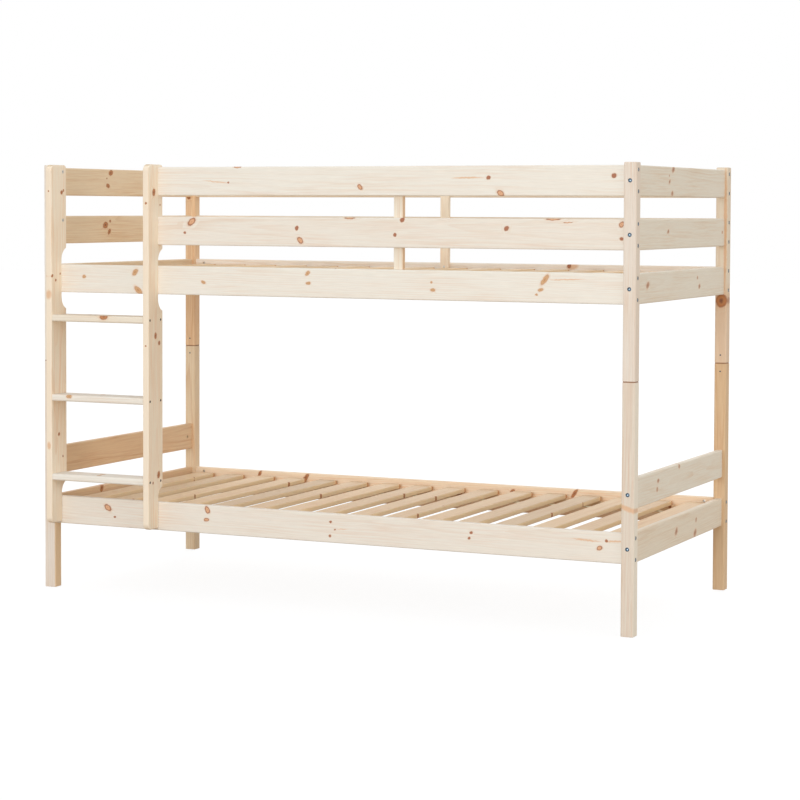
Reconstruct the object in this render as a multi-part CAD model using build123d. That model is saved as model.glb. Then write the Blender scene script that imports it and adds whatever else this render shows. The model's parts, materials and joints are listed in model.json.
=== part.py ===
from build123d import *
import os

# A bunk bed in planed pine with a ladder at its front left corner.
# All sizes are in millimetres. While it is built, x runs from the left faces of the left posts,
# y from the front faces of the front posts towards the wall, and z up from the floor.

# Outline of the bed
LENGTH = 2060.0
DEPTH = 960.0
HEIGHT = 1400.0
JOINT_HEIGHT = 754.0

# Posts, in two halves that stand on each other
POST = 40.0
POST_EDGE = 5.0
POST_END_EDGE = 3.0
FOOT_EDGE = 1.5

# Boards of the rails, set in the middle of the posts' width
BOARD = 20.0
BOARD_WIDTH = 92.0
BOARD_EDGE = 4.0
LOWER_RAIL = 260.0
HEAD_RAIL = 421.0
UPPER_RAIL = 1027.0
RAIL_PITCH = 159.5

# Loose slats on ledges inside the side rails
SLAT_COUNT = 16
SLAT_PITCH = 125.2
SLAT_WIDTH = 70.0
SLAT_THICKNESS = 15.0
SLAT_EDGE = 3.0
SLAT_END_GAP = 15.0
SLAT_DROP = 17.0
LOWER_SLATS_START = 57.0
UPPER_SLATS_START = 61.0
LEDGE = 20.0
LEDGE_HEIGHT = 30.0
LEDGE_LENGTH = 1900.0
LEDGE_EDGE = 2.0
STRAP_WIDTH = 25.0
STRAP_THICKNESS = 1.0
STRAP_INSET = 140.0

# Uprights that tie the guard rails to the side rails
UPRIGHT_WIDTH = 31.0
UPRIGHT_EDGE = 3.0
FRONT_UPRIGHT = 1263.0
REAR_UPRIGHT = 1030.0
UPRIGHT_LOW = 1045.0
UPRIGHT_TOP_GAP = 10.0

# Ladder, two notched stiles and three treads
STILE = 22.0
STILE_FRONT = -50.0
STILE_BACK = 40.0
STILE_FOOT = 220.0
STILE_EDGE = 4.0
STILE_FRONT_CORNER = 20.0
STILE_BACK_CORNER = 10.0
RIGHT_STILE = 410.0
NOTCH_RADIUS = 42.0
NOTCH_CLEARANCE = 15.0
FOOT_CLEARANCE = 1.0
TREAD = 22.0
TREAD_FRONT = -48.0
TREAD_BACK = 36.0
TREAD_EDGE = 6.0
LOW_TREAD = 374.0
TREAD_PITCH = 262.0

# Furniture bolts with barrel nuts
HEAD_RADIUS = 6.0
HEAD_HEIGHT = 6.0
HEAD_SINK = 0.4
SHANK_RADIUS = 3.0
BOLT_OFFSET = 32.0
NUT_RADIUS = 5.0
NUT_LENGTH = 14.0
NUT_SETBACK = 34.0
BOLT_PAST_NUT = 3.0
FIT = 0.1
HEAD_FIT = 0.3
SLEEVE_RADIUS = 4.5
SLEEVE_FLANGE = 2.0
SLEEVE_LENGTH = 16.0

# Wood screws, and the pins that join the post halves
SCREW_HEAD_RADIUS = 4.0
SCREW_HEAD_HEIGHT = 3.0
SCREW_RADIUS = 2.0
SCREW_BITE = 14.0
TREAD_SCREW_BITE = 35.0
TREAD_SCREWS = (-40.0, 26.0)
LEDGE_SCREWS = 6
PIN_RADIUS = 6.0
PIN_LENGTH = 90.0
PIN_FIT = 0.05
PIN_END_EDGE = 1.0
PIN_SCREW_RADIUS = 2.5
PIN_SCREW_OFFSET = 27.0
PIN_SCREW_BACKED_OFF = 1.0

BOARD_INSET = (POST - BOARD) / 2
BOARD_INNER = BOARD_INSET + BOARD
UPPER_RAILS = {"side": UPPER_RAIL, "middle": UPPER_RAIL + RAIL_PITCH, "top": UPPER_RAIL + 2 * RAIL_PITCH}
POST_X = {"left": 0.0, "right": LENGTH - POST}
POST_Y = {"front": 0.0, "rear": DEPTH - POST}
TO_FRAME = Pos(-LENGTH / 2, -(DEPTH + STILE_FRONT) / 2, 0)

parts = {}
drillings = {}


def board(low, high, along, edge):
    """A planed board between two corners, with its long edges rounded over."""
    size = Vector(*high) - Vector(*low)
    blank = Pos(*low) * Box(size.X, size.Y, size.Z, align=(Align.MIN, Align.MIN, Align.MIN))
    return fillet(blank.edges().filter_by(along), edge)


def rod(start, direction, radius, length):
    """A round bar from a point along a direction."""
    bar = Cylinder(radius, length, align=(Align.CENTER, Align.CENTER, Align.MIN))
    return Plane(origin=start, z_dir=direction) * bar


def drill(node, *tools):
    """Keep drillings for a node, to be cut all at once at the end."""
    drillings.setdefault(node, []).extend(tools)


def group(node, solid):
    """Add one of several alike pieces to a shared node."""
    parts.setdefault(node, []).append(solid)


def post_half(x, y, low, high):
    """Half of a corner post: rounded corners, a softened top, and an eased lower end."""
    post = board((x, y, low), (x + POST, y + POST, high), Axis.Z, POST_EDGE)
    post = fillet(post.faces().sort_by(Axis.Z)[-1].edges(), POST_END_EDGE)
    lower_edge = FOOT_EDGE if low == 0 else POST_END_EDGE
    return fillet(post.faces().sort_by(Axis.Z)[0].edges(), lower_edge)


def connector(bolts, nuts, clamped, rail, head_at, inward, thickness, nut_in):
    """A furniture bolt through a clamped piece into a barrel nut that is pushed into the rail's side."""
    head_at = Vector(*head_at)
    inward = Vector(*inward)
    nut_in = Vector(*nut_in)
    seat_depth = HEAD_SINK + HEAD_HEIGHT
    seat = head_at + inward * seat_depth
    nut_centre = head_at + inward * (thickness + NUT_SETBACK)
    reach = thickness + NUT_SETBACK + NUT_RADIUS + BOLT_PAST_NUT
    shank = rod(seat, inward, SHANK_RADIUS, reach - seat_depth)
    group(bolts, rod(head_at + inward * HEAD_SINK, inward, HEAD_RADIUS, HEAD_HEIGHT) + shank)
    nut = rod(nut_centre - nut_in * (NUT_LENGTH / 2), nut_in, NUT_RADIUS, NUT_LENGTH)
    clearance = rod(seat, inward, SHANK_RADIUS + FIT, reach - seat_depth)
    group(nuts, nut - clearance)
    counterbore = rod(head_at, inward, HEAD_RADIUS + HEAD_FIT, seat_depth)
    drill(clamped, counterbore, rod(head_at, inward, SHANK_RADIUS + FIT, thickness))
    pocket_depth = BOARD / 2 + NUT_LENGTH / 2
    drill(rail, clearance, rod(nut_centre - nut_in * (BOARD / 2), nut_in, NUT_RADIUS + FIT, pocket_depth))


def wood_screw(screws, through, into, head_at, inward, thickness, bite):
    """A screw with its head flush in one piece and its shank in the next."""
    head_at = Vector(*head_at)
    inward = Vector(*inward)
    head = rod(head_at, inward, SCREW_HEAD_RADIUS, SCREW_HEAD_HEIGHT)
    seat = head_at + inward * SCREW_HEAD_HEIGHT
    length = thickness - SCREW_HEAD_HEIGHT + bite
    group(screws, head + rod(seat, inward, SCREW_RADIUS, length))
    pilot = rod(seat, inward, SCREW_RADIUS + FIT, length)
    drill(through, rod(head_at, inward, SCREW_HEAD_RADIUS + FIT, SCREW_HEAD_HEIGHT), pilot)
    drill(into, pilot)


# Corner posts in two halves, with a steel pin in each joint
for depth_side, y in POST_Y.items():
    for side, x in POST_X.items():
        corner = f"{depth_side}_{side}"
        lower, upper = f"{corner}_lower_post", f"{corner}_upper_post"
        parts[lower] = post_half(x, y, 0, JOINT_HEIGHT)
        parts[upper] = post_half(x, y, JOINT_HEIGHT, HEIGHT)
        centre = Vector(x + POST / 2, y + POST / 2, JOINT_HEIGHT)
        pin_foot = centre - Vector(0, 0, PIN_LENGTH / 2)
        pin = rod(pin_foot, (0, 0, 1), PIN_RADIUS, PIN_LENGTH)
        group("post_pins", chamfer(pin.edges(), PIN_END_EDGE))
        socket = rod(pin_foot, (0, 0, 1), PIN_RADIUS + PIN_FIT, PIN_LENGTH)
        drill(lower, socket)
        drill(upper, socket)
        inward = Vector(0, -1, 0) if depth_side == "front" else Vector(0, 1, 0)
        for half, up, backed_off in (("lower", -1, 0), ("upper", 1, PIN_SCREW_BACKED_OFF)):
            start = centre - inward * (POST / 2) + Vector(0, 0, up * PIN_SCREW_OFFSET)
            hole_depth = POST / 2 - PIN_RADIUS
            screw_length = hole_depth - PIN_FIT - backed_off
            group(f"{half}_pin_screws", rod(start, inward, PIN_SCREW_RADIUS, screw_length))
            drill(f"{corner}_{half}_post", rod(start, inward, PIN_SCREW_RADIUS + FIT, hole_depth))


def side_rail(name, depth_side, height, x_low, ends, bolts, nuts):
    """A board along the bed, bolted twice at each end; ends maps an end to its clamped piece and face."""
    y = POST_Y[depth_side] + BOARD_INSET
    x_high = LENGTH - POST
    low = height - BOARD_WIDTH / 2
    parts[name] = board((x_low, y, low), (x_high, y + BOARD, low + BOARD_WIDTH), Axis.X, BOARD_EDGE)
    nut_in = (0, -1, 0) if depth_side == "front" else (0, 1, 0)
    for clamped, face_x, direction, thickness in ends:
        for offset in (-BOLT_OFFSET, BOLT_OFFSET):
            head_at = (face_x, y + BOARD / 2, height + offset)
            connector(bolts, nuts, clamped, name, head_at, (direction, 0, 0), thickness, nut_in)


def end_rail(name, side, level, height):
    """A board across an end of the bed, held by one bolt in the middle of each end."""
    x = POST_X[side] + BOARD_INSET
    low = height - BOARD_WIDTH / 2
    parts[name] = board((x, POST, low), (x + BOARD, DEPTH - POST, low + BOARD_WIDTH), Axis.Y, BOARD_EDGE)
    nut_in = (-1, 0, 0) if side == "left" else (1, 0, 0)
    for depth_side, face_y, direction in (("front", 0, 1), ("rear", DEPTH, -1)):
        head_at = (x + BOARD / 2, face_y, height)
        post = f"{depth_side}_{side}_{level}_post"
        bolts, nuts = f"{level}_end_rail_bolts", f"{level}_barrel_nuts"
        connector(bolts, nuts, post, name, head_at, (0, direction, 0), POST, nut_in)


def post_ends(depth_side, level):
    """The two ends of a rail that runs from post to post."""
    return (
        (f"{depth_side}_left_{level}_post", 0, 1, POST),
        (f"{depth_side}_right_{level}_post", LENGTH, -1, POST),
    )


# Side rails of both beds, and the guard rails round the upper one
for level, height in (("lower", LOWER_RAIL), ("upper", UPPER_RAIL)):
    for depth_side in POST_Y:
        name = f"{level}_{depth_side}_side_rail"
        bolts, nuts = f"{level}_side_rail_bolts", f"{level}_barrel_nuts"
        side_rail(name, depth_side, height, POST, post_ends(depth_side, level), bolts, nuts)

for row in ("middle", "top"):
    left, right = post_ends("front", "upper")
    at_ladder = ("ladder_right_stile", RIGHT_STILE, 1, STILE)
    guards = ("guard_rail_bolts", "upper_barrel_nuts")
    side_rail(f"front_{row}_guard_rail", "front", UPPER_RAILS[row], RIGHT_STILE + STILE, (at_ladder, right), *guards)
    side_rail(f"rear_{row}_guard_rail", "rear", UPPER_RAILS[row], POST, post_ends("rear", "upper"), *guards)

# End rails: three at each end of the upper bed, two at each end of the lower one
for side in POST_X:
    end_rail(f"{side}_lower_end_rail", side, "lower", LOWER_RAIL)
    end_rail(f"{side}_head_rail", side, "lower", HEAD_RAIL)
    for row, height in UPPER_RAILS.items():
        end_rail(f"{side}_upper_{row}_end_rail", side, "upper", height)

# Uprights on the inner faces of the guard rails
for depth_side, x in (("front", FRONT_UPRIGHT), ("rear", REAR_UPRIGHT)):
    name = f"{depth_side}_guard_upright"
    rear = depth_side == "rear"
    y = DEPTH - BOARD_INNER - BOARD if rear else BOARD_INNER
    top = UPPER_RAILS["top"] + BOARD_WIDTH / 2 - UPRIGHT_TOP_GAP
    parts[name] = board((x, y, UPRIGHT_LOW), (x + UPRIGHT_WIDTH, y + BOARD, top), Axis.Z, UPRIGHT_EDGE)
    head_y, inward = (y, (0, 1, 0)) if rear else (y + BOARD, (0, -1, 0))
    side_screw = (UPRIGHT_LOW + UPPER_RAIL + BOARD_WIDTH / 2) / 2
    screws = {f"upper_{depth_side}_side_rail": side_screw}
    for row in ("middle", "top"):
        screws[f"{depth_side}_{row}_guard_rail"] = UPPER_RAILS[row]
    for rail, z in screws.items():
        head_at = (x + UPRIGHT_WIDTH / 2, head_y, z)
        wood_screw("upright_screws", name, rail, head_at, inward, BOARD, SCREW_BITE)

# Slats on straps, and the ledges that carry them
for level, rail, start in (("lower", LOWER_RAIL, LOWER_SLATS_START), ("upper", UPPER_RAIL, UPPER_SLATS_START)):
    slat_top = rail + BOARD_WIDTH / 2 - SLAT_DROP
    slat_low = slat_top - SLAT_THICKNESS
    y_low, y_high = BOARD_INNER + SLAT_END_GAP, DEPTH - BOARD_INNER - SLAT_END_GAP
    for i in range(SLAT_COUNT):
        x = start + i * SLAT_PITCH
        slat = board((x, y_low, slat_low), (x + SLAT_WIDTH, y_high, slat_top), Axis.Y, SLAT_EDGE)
        group(f"{level}_slats", slat)
    x_end = start + (SLAT_COUNT - 1) * SLAT_PITCH + SLAT_WIDTH
    for y in (y_low + STRAP_INSET, y_high - STRAP_INSET - STRAP_WIDTH):
        strap = Pos(start, y, slat_low) * Box(
            x_end - start, STRAP_WIDTH, STRAP_THICKNESS, align=(Align.MIN, Align.MIN, Align.MAX)
        )
        group(f"{level}_slat_straps", strap)
    for depth_side in POST_Y:
        name = f"{level}_{depth_side}_ledge"
        rear = depth_side == "rear"
        x = (LENGTH - LEDGE_LENGTH) / 2
        y = DEPTH - BOARD_INNER - LEDGE if rear else BOARD_INNER
        low, high = (x, y, slat_low - LEDGE_HEIGHT), (x + LEDGE_LENGTH, y + LEDGE, slat_low)
        parts[name] = board(low, high, Axis.X, LEDGE_EDGE)
        head_y, inward = (y, (0, 1, 0)) if rear else (y + LEDGE, (0, -1, 0))
        for i in range(LEDGE_SCREWS):
            head_at = (x + LEDGE_LENGTH * (i + 0.5) / LEDGE_SCREWS, head_y, slat_low - LEDGE_HEIGHT / 2)
            side = f"{level}_{depth_side}_side_rail"
            wood_screw(f"{level}_ledge_screws", name, side, head_at, inward, LEDGE, SCREW_BITE)


def stile_outline():
    """A stile seen from the side: notched round the upper side rail and cut back over the lower one."""
    size_y, size_z = STILE_BACK - STILE_FRONT, HEIGHT - STILE_FOOT
    outline = Pos(STILE_FRONT, STILE_FOOT) * Rectangle(size_y, size_z, align=(Align.MIN, Align.MIN))
    corners = outline.vertices().group_by(Axis.X)
    outline = fillet(corners[0], STILE_FRONT_CORNER)
    outline = fillet(outline.vertices().group_by(Axis.X)[-1].sort_by(Axis.Y)[-1], STILE_BACK_CORNER)
    notch_straight = BOARD_WIDTH + 2 * NOTCH_CLEARANCE
    slot_y = BOARD_INSET + NOTCH_RADIUS
    notch = Pos(slot_y, UPPER_RAIL) * SlotCenterToCenter(notch_straight, 2 * NOTCH_RADIUS, rotation=90)
    foot_top = LOWER_RAIL + BOARD_WIDTH / 2 + BOARD_INSET
    foot = Pos(slot_y - FOOT_CLEARANCE, foot_top - LENGTH / 2) * SlotCenterToCenter(
        LENGTH, 2 * NOTCH_RADIUS, rotation=90
    )
    return outline - notch - foot


def stile(x):
    """The outline cut from a board, with its long edges rounded over."""
    blank = extrude(Plane.YZ.offset(x) * stile_outline(), STILE)
    long_edges = blank.edges().filter_by(Axis.Z)
    front = long_edges.group_by(Axis.Y)[0]
    back = long_edges.group_by(Axis.Y)[-1]
    return fillet(front + back, STILE_EDGE)


# Ladder
parts["ladder_left_stile"] = stile(POST)
parts["ladder_right_stile"] = stile(RIGHT_STILE)
for i, row in enumerate(("low", "middle", "top")):
    name = f"ladder_{row}_tread"
    z = LOW_TREAD + i * TREAD_PITCH
    low = (POST + STILE, TREAD_FRONT, z - TREAD / 2)
    high = (RIGHT_STILE, TREAD_BACK, z + TREAD / 2)
    parts[name] = board(low, high, Axis.X, TREAD_EDGE)
    for side, face_x, direction in (("left", POST, 1), ("right", RIGHT_STILE + STILE, -1)):
        for y in TREAD_SCREWS:
            face = (face_x, y, z)
            wood_screw(
                "tread_screws", f"ladder_{side}_stile", name, face, (direction, 0, 0), STILE, TREAD_SCREW_BITE
            )

# Two bolts hold the left stile to the post, in sleeve nuts that sit flush in the stile
for row in ("middle", "top"):
    post_face = Vector(0, POST / 2, UPPER_RAILS[row] + BOLT_OFFSET)
    right = Vector(1, 0, 0)
    seat = post_face + right * (HEAD_SINK + HEAD_HEIGHT)
    stile_face = post_face + right * (POST + STILE)
    shank_length = POST + STILE - HEAD_SINK - HEAD_HEIGHT - SLEEVE_FLANGE
    head = rod(post_face + right * HEAD_SINK, right, HEAD_RADIUS, HEAD_HEIGHT)
    group("ladder_post_bolts", head + rod(seat, right, SHANK_RADIUS, shank_length))
    counterbore = rod(post_face, right, HEAD_RADIUS + HEAD_FIT, HEAD_SINK + HEAD_HEIGHT)
    passage = rod(post_face, right, SHANK_RADIUS + FIT, POST + STILE - SLEEVE_FLANGE)
    drill("front_left_upper_post", counterbore, passage)
    flange = rod(stile_face, -right, HEAD_RADIUS, SLEEVE_FLANGE)
    sleeve = flange + rod(stile_face, -right, SLEEVE_RADIUS, SLEEVE_LENGTH)
    group("ladder_sleeve_nuts", sleeve - passage)
    recess = rod(stile_face, -right, HEAD_RADIUS + HEAD_FIT, SLEEVE_FLANGE)
    socket = rod(stile_face, -right, SLEEVE_RADIUS + FIT, SLEEVE_LENGTH)
    drill("ladder_left_stile", recess, socket, passage)

# Drill the boards, move everything to the bed's own frame and write one file for each node
os.makedirs("parts", exist_ok=True)
for node, shape in parts.items():
    if node in drillings:
        shape = shape - drillings[node]
    if isinstance(shape, list):
        shape = Compound(children=[TO_FRAME * solid for solid in shape])
    else:
        shape = TO_FRAME * shape
    export_step(shape, f"parts/{node}.step")
print(f"{len(parts)} nodes written")
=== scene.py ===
# %% [markdown]
# # A pine bunk bed with a ladder
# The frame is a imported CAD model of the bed: every board, bolt and strap is there at its real size. This
# lesson dresses it. The boards keep their CAD shape and get a wood finish of their own, and the small
# steel pieces and the slat straps are modelled again with the detail that a close look needs.

# %% Load the frame
import json
import math
import random

import bpy
from mathutils import Matrix, Vector

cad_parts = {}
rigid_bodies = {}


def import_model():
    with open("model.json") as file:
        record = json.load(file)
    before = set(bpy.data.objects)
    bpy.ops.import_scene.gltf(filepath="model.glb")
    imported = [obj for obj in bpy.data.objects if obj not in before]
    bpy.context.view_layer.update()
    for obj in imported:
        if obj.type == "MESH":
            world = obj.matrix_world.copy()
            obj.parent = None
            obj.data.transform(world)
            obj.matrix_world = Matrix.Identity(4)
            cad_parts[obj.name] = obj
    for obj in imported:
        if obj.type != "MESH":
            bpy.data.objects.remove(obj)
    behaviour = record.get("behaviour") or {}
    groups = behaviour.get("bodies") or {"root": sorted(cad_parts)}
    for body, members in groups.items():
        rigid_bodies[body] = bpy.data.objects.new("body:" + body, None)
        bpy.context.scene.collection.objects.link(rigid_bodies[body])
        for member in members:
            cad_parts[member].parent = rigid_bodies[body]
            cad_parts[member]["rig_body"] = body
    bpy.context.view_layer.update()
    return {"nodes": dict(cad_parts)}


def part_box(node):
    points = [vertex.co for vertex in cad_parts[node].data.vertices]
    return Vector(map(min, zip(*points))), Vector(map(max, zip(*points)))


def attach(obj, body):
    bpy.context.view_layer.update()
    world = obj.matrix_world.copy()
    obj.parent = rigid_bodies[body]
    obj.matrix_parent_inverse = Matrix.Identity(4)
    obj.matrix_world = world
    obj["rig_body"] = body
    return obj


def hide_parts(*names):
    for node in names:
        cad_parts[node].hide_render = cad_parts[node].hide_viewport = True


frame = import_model()
nodes = frame["nodes"]
bpy.context.scene.view_settings.view_transform = "Standard"

# %% [markdown]
# ## Colours and nodes
# A colour is easiest to pick as an sRGB hex value, but a shader works on linear light, so one function
# turns the first into the second. Another adds a node: it sets the node's properties, fills or links its
# inputs and hands back one output, so that a material reads as a list of steps. A Map Range node takes
# four levels, from low and high and to low and high, and a colour ramp takes its stops. Colours are laid
# over each other by a Mix node, whose sockets have numbers, so these get names.

# %% Helpers for materials
MILLIMETRE = 0.001
SHARE, UNDER, OVER = 0, 6, 7
BLEND = {"out": 2, "data_type": "RGBA"}


def linear(hex_colour):
    """An sRGB hex colour as linear RGBA."""
    channels = [int(hex_colour[i:i + 2], 16) / 255 for i in (1, 3, 5)]
    return [c / 12.92 if c <= 0.04045 else ((c + 0.055) / 1.055) ** 2.4 for c in channels] + [1.0]


def add(tree, kind, inputs, out=0, levels=(), stops=(), **settings):
    """Add a node with its settings and links, and return one of its outputs."""
    node = tree.nodes.new("ShaderNode" + kind)
    for name, value in settings.items():
        setattr(node, name, value)
    for position, colour in stops:
        ramp = node.color_ramp.elements
        stop = ramp[0] if position == 0 else ramp[-1] if position == 1 else ramp.new(position)
        stop.color = colour
    for socket, value in (inputs | dict(enumerate(levels, 1))).items():
        if isinstance(value, bpy.types.NodeSocket):
            tree.links.new(value, node.inputs[socket])
        else:
            node.inputs[socket].default_value = value
    return node.outputs[out]


def new_material(name):
    """An empty material with its tree and its Principled shader."""
    material = bpy.data.materials.new(name)
    material.use_nodes = True
    return material, material.node_tree, material.node_tree.nodes["Principled BSDF"]


print("helpers ready")

# %% [markdown]
# ## Where the knots are
# A pine trunk grows a ring of branches every year, so knots come in groups across a board, a hand or two
# apart. A noise could scatter them, but the eye knows a bed by its knots, so on the boards that face the
# viewer they are set one by one, where the real bed has them: the place along the board and across it from
# its lower corner and the knot's length in millimetres, and its lean in degrees. A fifth number says how
# slender it is, for a branch that was cut at a slant, and a sixth keeps it faint. A knot on a board's
# narrow side is listed apart, and so is a smear, the orange trace of a branch or of resin just under the
# surface. Two smears are painted shade instead: a thin orange band along the lower edge of the lower rear
# rail, for the warm shade under the slats, and a long thin streak on the rear right upper post, for the
# shadow the end rails cast beside them.

# %% Knots listed
KNOTS = {
    "front_top_guard_rail": [
        (260, 42, 7, 0), (292, 92, 26, 0, 0.16), (725, 27, 20, -45), (1155, 55, 13, 10), (1195, 8, 24, -30),
        (1555, 60, 16, 25)],
    "front_middle_guard_rail": [
        (125, 76, 33, 40), (100, 40, 9, 0), (505, 58, 14, 75), (517, 20, 24, -45), (690, 92, 36, 0, 0.14),
        (845, 40, 12, 20), (870, 86, 16, 35), (1215, 62, 17, 35), (1365, 92, 46, 0, 0.11),
        (1412, 81, 30, 4, 0.05), (1580, 76, 19, 45), (1580, 34, 11, 0)],
    "upper_front_side_rail": [
        (110, 53, 13, 0), (305, 70, 25, 45), (317, 12, 34, -42, 0.24), (560, 42, 17, -20, 0.26),
        (935, 76, 18, 40), (937, 45, 17, 0, 0.27), (1360, 55, 8, 0), (1365, 32, 17, 0, 0.3),
        (1718, 39, 18, 15, 0.28), (1705, 25, 8, 0), (1731, 69, 37, 53, 0.19)],
    "lower_front_side_rail": [
        (200, 62, 29, -32), (227, 33, 8, 0), (575, 77, 24, -60), (572, 45, 18, 5), (1018, 66, 9, 0),
        (1033, 43, 6, 0), (1016, 22, 10, 30), (1497, 63, 10, 0), (1490, 45, 9, 0), (1910, 43, 18, 25),
        (1932, 66, 9, 0)],
    "lower_rear_side_rail": [
        (267, 80, 26, 60, 0.2), (456, 76, 34, 50, 0.2), (1259, 71, 20, 45), (1487, 77, 36, 55, 0.16)],
    "upper_rear_side_rail": [(1462, 86, 16, 20), (320, 40, 14, 0), (905, 30, 16, 20), (1760, 50, 12, 0)],
    "left_upper_top_end_rail": [(325, 80, 26, 20), (307, 35, 22, -15), (300, 60, 6, 0)],
    "left_upper_middle_end_rail": [(290, 60, 30, 10), (320, 73, 11, 0), (314, 37, 22, 40)],
    "right_upper_top_end_rail": [(335, 84, 27, 22), (300, 46, 18, 30), (326, 10, 20, 15), (297, 64, 8, 0)],
    "right_upper_middle_end_rail": [(290, 53, 20, 15), (856, 46, 12, 0)],
    "right_upper_side_end_rail": [(100, 54, 30, 24), (590, 64, 13, 0), (612, 36, 20, 15)],
    "right_lower_end_rail": [(396, 44, 28, 30), (590, 15, 30, 30), (600, 56, 16, 20)],
    "right_head_rail": [(214, 62, 20, 0), (205, 36, 16, 0), (420, 85, 16, 0)],
    "left_lower_end_rail": [(264, 83, 28, 60)],
    "left_head_rail": [],
    "rear_right_upper_post": [(207, 22, 44, 10, 0.42)],
    "rear_right_lower_post": [],
    "rear_left_upper_post": [(546, 15, 16, 0)],
    "rear_left_lower_post": [],
    "front_right_upper_post": [],
    "front_right_lower_post": [],
    "front_left_upper_post": [],
    "front_left_lower_post": [],
    "ladder_left_stile": [
        (1090, 62, 14, 30), (1096, 72, 9, -30), (816, 6, 10, 60), (802, 26, 9, 0), (822, 52, 7, 0),
        (292, 42, 12, 60), (216, 66, 7, 0)],
    "ladder_right_stile": [
        (1090, 34, 24, 8), (1050, 72, 6, 0), (627, 44, 20, 10), (603, 66, 14, 0), (175, 62, 22, 12),
        (151, 27, 9, 0)],
    "lower_slats": [
        (724, 66, 9, 0), (105, 194, 10, 0), (296, 320, 8, 0), (742, 446, 13, 0), (500, 696, 12, 0),
        (634, 946, 13, 0), (618, 1072, 13, 0), (410, 1190, 9, 0), (196, 1197, 11, 0), (407, 1572, 13, 0),
        (692, 1572, 7, 0)],
    "upper_slats": [(320, 160, 11, 0), (600, 700, 13, 0), (210, 1190, 10, 0), (480, 1640, 12, 0)],
}
SIDE_KNOTS = {
    "ladder_top_tread": [(199, 21, 32, 0, 0.34)],
    "ladder_middle_tread": [(66, 17, 20, 0)],
    "ladder_left_stile": [(1094, 12, 5, 0)],
    "ladder_right_stile": [(1055, 13, 7, 0), (596, 12, 6, 0)],
}
SMEARS_AND_SHADE = {
    # A thin orange band along the rail's lower edge: painted warm shade under the slats.
    "lower_rear_side_rail": [(990, 0, 2400, 0, 0.013)],
    "upper_rear_side_rail": [(1475, 84, 44, 15, 0.25)],
    # The second smear, a long thin streak at the post's right edge, is painted shadow of the end rails on
    # the post.
    "rear_right_upper_post": [(90, 20, 330, 0, 0.2, 0.88), (440, 33, 470, 0, 0.012)],
    "front_right_lower_post": [(380, 20, 90, -72, 0.09)],
    "upper_front_side_rail": [(1800, 71, 110, 2, 0.02)],
    "lower_front_side_rail": [(1960, 66, 60, 4, 0.05), (1870, 64, 90, -3, 0.03), (1058, 45, 44, 3, 0.03)],
    "front_top_guard_rail": [(1085, 55, 100, 1, 0.03), (215, 44, 90, -5, 0.02)],
}
SIDE_SMEARS = {"ladder_left_stile": [(755, 11, 32, 0), (257, 11, 26, 0)]}
print(sum(len(listed) for listed in KNOTS.values()), "knots set by hand")

# %% [markdown]
# ## Knots by draw
# Boards that are not listed get their knots from a draw. Each board is drawn with its own name as the
# seed, so the bed looks the same every time. The groups come at uneven distances, and a group is one to
# three knots.

# %% Knots by draw
GROUP_SPACING, SPACING_DRIFT = 420, (0.75, 1.25)
FIRST_GROUP = (0.3, 0.9)
GROUP_SIZES, GROUP_SPREAD = (1, 2, 2, 3), 25
ACROSS_BOARD = (0.1, 0.9)
LEAST_KNOT, LARGEST_KNOT = 8, 22
STEEPEST = 50


def drawn_knots(draw, length, width):
    """Groups of one to three knots along a board that is not listed."""
    found = []
    place = draw.uniform(*FIRST_GROUP) * min(GROUP_SPACING, length)
    while place < length:
        for _ in range(draw.choice(GROUP_SIZES)):
            along = place + draw.uniform(-GROUP_SPREAD, GROUP_SPREAD)
            across = draw.uniform(*ACROSS_BOARD) * width
            knot = draw.uniform(LEAST_KNOT, LARGEST_KNOT)
            found.append((along, across, knot, draw.uniform(-STEEPEST, STEEPEST)))
        place += draw.uniform(*SPACING_DRIFT) * GROUP_SPACING
    return found


print("a group of knots about every", GROUP_SPACING, "mm")

# %% [markdown]
# ## Tones of pine
# The bed is untreated pine: pale cream wood with faint salmon lines. Boards differ in tone, as they do in a
# pack from one mill, and the tones are also set for the light each board gets: boards inside the bed, such
# as the ledges, the lower rear rail, the lower left end rails and the rear right lower post, have warmer
# tones that paint in the warm shade there. Each tone is three colours: the early wood, the late wood that
# ends a year, and the streaks. A table says which boards have it, by words in their names, and the first
# match counts. One tone for all, shaded by chance, would be shorter, but then no board would look like
# itself. On some boards the narrow sides get a colour of their own, painted lighter or darker than the
# faces as painted light and shade.

# %% Tones
TONES = {
    "pale": ("#F2EBE0", "#E8D5C1", "#EDDCCC"),
    "chalk": ("#FFF6EA", "#F0D8BC", "#F8E4CF"),
    "milk": ("#F0E7DB", "#E6D0BB", "#EBD7C6"),
    "clay": ("#E5D7C7", "#D6B296", "#DEC3AC"),
    "oat": ("#EADDD0", "#DABAA0", "#E2CAB4"),
    "shell": ("#FFF1DC", "#F2CFAB", "#FADDBF"),
    "blush": ("#FFEBD0", "#EFC49A", "#F8D6B2"),
    "peach": ("#F5D2AA", "#DAA474", "#E9BA8C"),
    "ivory": ("#F1E6D5", "#E1C4A4", "#E9D2B8"),
    "cream": ("#F0E1CC", "#DDBD98", "#E6CCAF"),
    "sand": ("#F1DABA", "#DAB086", "#E6C299"),
    "tan": ("#E6C59D", "#CE9D71", "#D9AE82"),
    "rose": ("#EDCCA5", "#D29E71", "#E1B387"),
    "slat": ("#E8CAA3", "#D09F6A", "#DEB483"),
}
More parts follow.
